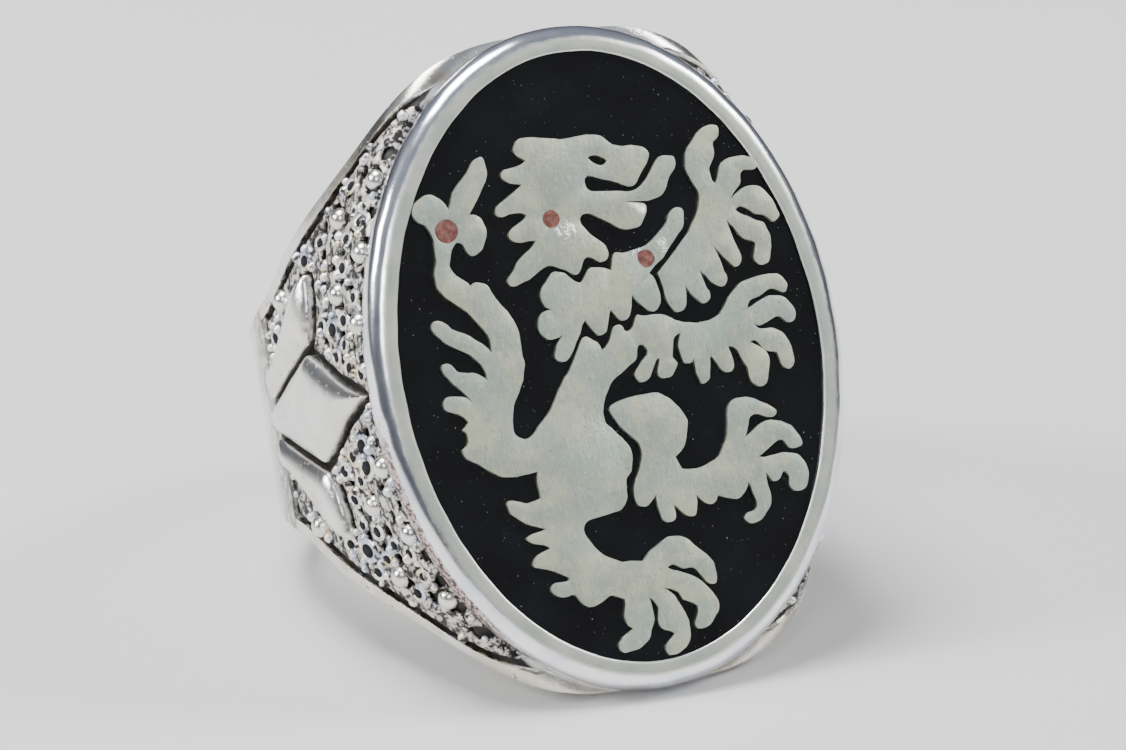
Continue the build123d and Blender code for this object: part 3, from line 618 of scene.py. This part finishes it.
def makeBezel():
    (_, highX), (front, seat), (_, highZ) = bezelBox
    girthX, girthZ, frontY, seatY = highX * mm, highZ * mm, front * mm, seat * mm
    rimWidth = (highX - ringBox("enamel_ground")[0][1]) * mm
    near = bezelSet["near"] * mm
    deselectAll()
    bpy.ops.mesh.primitive_circle_add(
        vertices=bezelSet["sides"], radius=1.0, fill_type="NGON", location=(0, 0, 0))
    bezel = bpy.context.object
    bezel.name = "bezel_rim"
    pick(bezel)
    bpy.ops.object.mode_set(mode="EDIT")
    bpy.ops.mesh.select_all(action="SELECT")
    bpy.ops.transform.resize(value=(girthX, girthZ, 1.0), center_override=(0, 0, 0))
    bpy.ops.object.mode_set(mode="OBJECT")
    bezel.data.transform(Matrix.Rotation(math.radians(90), 4, "X"))  # from lying flat to facing front
    bezel.data.transform(Matrix.Translation((0, seatY, 0)))
    bpy.ops.object.mode_set(mode="EDIT")
    bpy.ops.mesh.select_all(action="SELECT")
    bpy.ops.mesh.extrude_region_move(TRANSFORM_OT_translate={"value": (0, (front - seat) * mm, 0)})
    bpy.ops.mesh.select_all(action="SELECT")
    bpy.ops.mesh.normals_make_consistent(inside=False)
    selectInEdit(bezel, "FACE", lambda face: len(face.verts) > 4)
    bpy.ops.mesh.inset(thickness=rimWidth, use_individual=True)
    bpy.ops.mesh.delete(type="ONLY_FACE")
    selectInEdit(bezel, "EDGE", lambda edge: edge.is_boundary)
    bpy.ops.mesh.bridge_edge_loops()
    inside, outside, beyond = bezelSet["insideFrom"], bezelSet["outsideFrom"], bezelSet["outsideTo"]
    for height, low, high, kind in (
            (frontY, outside, beyond, "front"), (frontY, inside, outside, "inner"),
            (seatY, outside, beyond, "seat")):
        def onLoop(edge):
            reach = [math.hypot(v.co.x / girthX, v.co.z / girthZ) for v in edge.verts]
            level = all(abs(v.co.y - height) < near for v in edge.verts)
            return level and low < min(reach) < high and abs(reach[0] - reach[1]) < bezelSet["roundShare"]
        selectInEdit(bezel, "EDGE", onLoop)
        bpy.ops.mesh.bevel(offset=bezelSet[kind + "Round"] * mm, segments=bezelSet[kind + "Steps"],
                           profile=0.5, affect="EDGES")
    bpy.ops.mesh.select_all(action="SELECT")
    bpy.ops.mesh.normals_make_consistent(inside=False)
    bpy.ops.object.mode_set(mode="OBJECT")
    for v in bezel.data.vertices:
        spot = v.co / (bezelSet["waverPitch"] * mm)
        inward = Vector((-v.co.x, 0, -v.co.z)).normalized()
        v.co += inward * (0.5 + noise.noise(spot)) * bezelSet["waver"] * mm
    bezel.data.transform(ringToWorld)
    shadeSmooth(bezel, bezelSet["smooth"])
    finishPiece(bezel, "bezel", "polished_silver", "bezel_frame")


makeBezel()
print("bezel made")

railSet = {
    "pieces": ("rail_upper_left", "rail_lower_left", "rail_upper_right", "rail_lower_right"),
    "edge": 0.07, "steps": 3, "smooth": 45,
}
for node in railSet["pieces"]:
    piece = roundedCopy(node, node + "_strip", railSet["edge"], railSet["steps"])
    shadeSmooth(piece, railSet["smooth"])
    finishPiece(piece, "rail", "polished_silver", node)
print("rails made")

bandSet = {"edge": 0.16, "steps": 4, "smooth": 40}
band = roundedCopy("shank", "finger_band", bandSet["edge"], bandSet["steps"])
shadeSmooth(band, bandSet["smooth"])
finishPiece(band, "shank", "polished_silver", "shank")
print("band made")

petalSet = {
    "pieces": ("tulip_centre_left", "tulip_centre_right", "leaf_upper_left", "leaf_lower_left",
               "leaf_upper_right", "leaf_lower_right"),
    "voxel": 0.08, "strength": 0.55, "rounds": 8, "rise": 0.42, "reach": 1.0,
    "wallLean": 0.3, "wallSpacing": 0.06, "topLean": 0.2, "leanGain": 1.5,
    "lastStrength": 0.5, "lastRounds": 12,
}


def wallPoints(node):
    # points along the side walls of a CAD shape, as (0, y, z) in the ring's frame
    mesh = cadNodes[node].data
    found = []
    for face in mesh.polygons:
        if abs((turnToRing @ face.normal).normalized().x) > petalSet["wallLean"]:
            continue
        corners = [worldToRing @ mesh.vertices[index].co for index in face.vertices]
        for a, b in zip(corners, corners[1:] + corners[:1]):
            steps = max(1, int((b - a).length / (petalSet["wallSpacing"] * mm)))
            found += [Vector((0, *a.lerp(b, i / steps).yz)) for i in range(steps)]
    return found


def puffOut(piece, node):
    # the outer face swells away from its borders, most in the middle
    border = wallPoints(node)
    tree = KDTree(len(border))
    for index, p in enumerate(border):
        tree.insert(p, index)
    tree.balance()
    sign = 1.0 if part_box(node)[0].x > 0 else -1.0
    for v in piece.data.vertices:
        lean = (turnToRing @ v.normal).normalized().x * sign
        if lean > petalSet["topLean"]:
            p = worldToRing @ v.co
            away = tree.find(Vector((0, p.y, p.z)))[2] / (petalSet["reach"] * mm)
            swell = math.sin(min(away, 1.0) * math.pi / 2) * petalSet["rise"] * mm
            v.co.x += sign * swell * min(1.0, lean * petalSet["leanGain"])
    piece.data.update()


for node in petalSet["pieces"]:
    piece = softenedCopy(node, node + "_petal", petalSet["voxel"], petalSet["strength"], petalSet["rounds"])
    puffOut(piece, node)
    applyModifier(piece, "SMOOTH", factor=petalSet["lastStrength"], iterations=petalSet["lastRounds"])
    finishPiece(piece, "petal", "polished_silver", node)
print("petals made")

sheetSet = {"voxel": 0.085, "strength": 0.5, "rounds": 3}
for side in ("left", "right"):
    node = "filigree_" + side
    piece = softenedCopy(node, node + "_sheet", sheetSet["voxel"], sheetSet["strength"], sheetSet["rounds"])
    finishPiece(piece, "sheet", "oxidised_silver", node)
print("pierced sheets made")

cellSet = {
    # one oval cell: a flattened wire ring round a black disc of painted shadow, longer to the back than it is
    # high
    "ringRadius": 0.41, "wire": 0.15, "ringTurns": 18, "wireSides": 6, "long": 1.5, "flat": 0.55,
    "shadowRadius": 0.30, "shadowSides": 14, "shadowThick": 0.1, "shadowSink": 0.07,
    # where the cells stand
    "first": -10.0, "across": 1.30, "along": 1.04, "columns": 10, "rows": 27, "stagger": 0.25,
    "jitterAcross": 0.12, "jitterAlong": 0.10, "seed": 11,
    # a cell is dropped on the sheet at six points round it
    "feelAcross": 0.75, "feelAlong": 0.48, "feelAngles": (0.3, 1.35, 2.4, 3.45, 4.5, 5.55),
    "fewest": 4, "size": (0.90, 1.12), "edgeSize": 0.72, "bossGap": 0.72, "lean": 0.06, "spin": 0.25,
    "rayFrom": 20.0,
}
beadSet = {
    "radius": 0.2, "rings": 6, "turns": 8, "foot": -0.2, "footSpread": 1.18,
    "places": ((0.5, 0.25), (-0.5, 0.25), (0.5, -0.25), (-0.5, -0.25), (0.0, 0.5)),
    "jitter": 0.10, "share": 0.42, "size": (0.7, 1.3), "steepest": 0.3,
}


def startShape(name):
    # names the new primitive and opens it, all selected
    shape = bpy.context.object
    shape.name = name
    pick(shape)
    bpy.ops.object.mode_set(mode="EDIT")
    bpy.ops.mesh.select_all(action="SELECT")
    return shape


def makeRing():
    bpy.ops.mesh.primitive_torus_add(
        major_radius=cellSet["ringRadius"] * mm, minor_radius=cellSet["wire"] * mm,
        major_segments=cellSet["ringTurns"], minor_segments=cellSet["wireSides"], location=(0, 0, 0))
    ring = startShape("ringShape")
    bpy.ops.transform.resize(value=(cellSet["long"], 1, cellSet["flat"]), center_override=(0, 0, 0))
    bpy.ops.object.mode_set(mode="OBJECT")
    return ring


def makeShadowDisc():
    # the painted shadow inside a cell: a black disc, a short plug
    bpy.ops.mesh.primitive_circle_add(
        vertices=cellSet["shadowSides"], radius=cellSet["shadowRadius"] * mm, fill_type="TRIFAN",
        location=(0, 0, 0))
    shadowPlug = startShape("shadowDiscShape")
    bpy.ops.transform.resize(value=(cellSet["long"], 1, 1), center_override=(0, 0, 0))
    bpy.ops.mesh.extrude_region_move(TRANSFORM_OT_translate={"value": (0, 0, cellSet["shadowThick"] * mm)})
    bpy.ops.mesh.select_all(action="SELECT")
    bpy.ops.transform.translate(value=(0, 0, -cellSet["shadowSink"] * mm))
    bpy.ops.mesh.normals_make_consistent(inside=False)
    bpy.ops.object.mode_set(mode="OBJECT")
    return shadowPlug


def makeBead():
    # a half-melted bead: a ball with its foot drawn out a little
    bpy.ops.mesh.primitive_uv_sphere_add(
        segments=beadSet["turns"], ring_count=beadSet["rings"], radius=beadSet["radius"] * mm,
        location=(0, 0, 0))
    bead = startShape("beadShape")
    bpy.ops.mesh.select_all(action="DESELECT")
    bpy.ops.object.mode_set(mode="OBJECT")
    for v in bead.data.vertices:
        v.select = v.co.z < beadSet["foot"] * beadSet["radius"] * mm
    bpy.ops.object.mode_set(mode="EDIT")
    bpy.ops.transform.resize(
        value=(beadSet["footSpread"], beadSet["footSpread"], 1.0), center_override=(0, 0, 0))
    bpy.ops.object.mode_set(mode="OBJECT")
    return bead


def shapeTree(node):
    # a CAD shape in ring millimetres, for dropping small pieces onto it
    mesh = cadNodes[node].data
    points = [(worldToRing @ v.co) / mm for v in mesh.vertices]
    return BVHTree.FromPolygons(points, [tuple(face.vertices) for face in mesh.polygons])


def landing(tree, sign, y, z):
    # where a ray from the side meets the shape, and which way that surface faces
    start, way = Vector((cellSet["rayFrom"] * sign, y, z)), Vector((-sign, 0, 0))
    hit, normal, _, _ = tree.ray_cast(start, way, cellSet["rayFrom"])
    if hit is None:
        return None
    return hit, normal if normal.x * sign > 0 else -normal


def dropOn(shape, spots, name, look):
    # copies of one small shape, each with its own mesh, joined into one piece
    made = []
    for hit, normal, size, spin in spots:
        one = shape.copy()
        one.data = shape.data.copy()
        bpy.context.scene.collection.objects.link(one)
        turn = normal.to_track_quat("Z", "Y").to_matrix() @ Euler((0, 0, spin)).to_matrix()
        place = Matrix.Translation(hit * mm) @ turn.to_4x4() @ Matrix.Diagonal((size, size, size, 1.0))
        one.data.transform(ringToWorld @ place)
        made.append(one)
    deselectAll()
    for one in made:
        one.select_set(True)
    bpy.context.view_layer.objects.active = made[0]
    bpy.ops.object.join()
    made[0].name = name
    for face in made[0].data.polygons:
        face.use_smooth = True
    finishPiece(made[0], look, "oxidised_silver")


def cellPlaces():
    middle = (cellSet["rows"] - 1) / 2
    for column in range(cellSet["columns"]):
        stagger = cellSet["stagger"] if column % 2 else -cellSet["stagger"]
        for row in range(cellSet["rows"]):
            yield (cellSet["first"] + column * cellSet["across"],
                   (row - middle + stagger) * cellSet["along"])


def placeCell(tree, bosses, sign, y, z, chance):
    # a ring's spot, or nothing where the sheet ends or a large bead stands
    across, along = cellSet["feelAcross"], cellSet["feelAlong"]
    around = [landing(tree, sign, y + across * math.cos(a), z + along * math.sin(a))
              for a in cellSet["feelAngles"]]
    found = [spot for spot in around if spot]
    if len(found) < cellSet["fewest"]:
        return []
    middle = sum((spot[0] for spot in found), Vector()) / len(found)
    normal = sum((spot[1] for spot in found), Vector()).normalized()
    size = chance.uniform(*cellSet["size"]) * (1.0 if len(found) == len(around) else cellSet["edgeSize"])
    if bosses.find_nearest(middle)[3] <= cellSet["bossGap"] * size:
        return []
    lean = Vector([chance.uniform(-cellSet["lean"], cellSet["lean"]) for _ in range(3)])
    spin = chance.uniform(-cellSet["spin"], cellSet["spin"])
    return [(middle, (normal + lean).normalized(), size, spin)]


def placeBeads(tree, sign, y, z, chance):
    # small beads in the gaps between the cells
    made = []
    jitter = beadSet["jitter"]
    for across, along in beadSet["places"]:
        spot = landing(tree, sign, y + across * cellSet["across"] + chance.uniform(-jitter, jitter),
                       z + along * cellSet["along"] + chance.uniform(-jitter, jitter))
        if spot and spot[1].x * sign > beadSet["steepest"] and chance.random() < beadSet["share"]:
            made.append((spot[0], spot[1], chance.uniform(*beadSet["size"]), 0.0))
    return made


shadowDiscShape, ringShape, beadShape = makeShadowDisc(), makeRing(), makeBead()
chance = random.Random(cellSet["seed"])
for side, sign in (("left", -1.0), ("right", 1.0)):
    tree = shapeTree("filigree_" + side)
    bosses = shapeTree("granules_" + side)
    ringSpots, beadSpots = [], []
    for y, z in cellPlaces():
        y += chance.uniform(-cellSet["jitterAcross"], cellSet["jitterAcross"])
        z += chance.uniform(-cellSet["jitterAlong"], cellSet["jitterAlong"])
        ringSpots += placeCell(tree, bosses, sign, y, z, chance)
        beadSpots += placeBeads(tree, sign, y, z, chance)
    print(side, "shoulder:", len(ringSpots), "cells,", len(beadSpots), "beads")
    dropOn(ringShape, ringSpots, "ring_wires_" + side, "cast")
    # black discs of painted shadow inside the cells
    dropOn(shadowDiscShape, ringSpots, "cell_shadow_discs_" + side, "pit")
    dropOn(beadShape, beadSpots, "small_beads_" + side, "cast")
    setLook(cadNodes["granules_" + side], "petal")
for shape in (shadowDiscShape, ringShape, beadShape):
    bpy.data.objects.remove(shape)
print("cells and beads made")
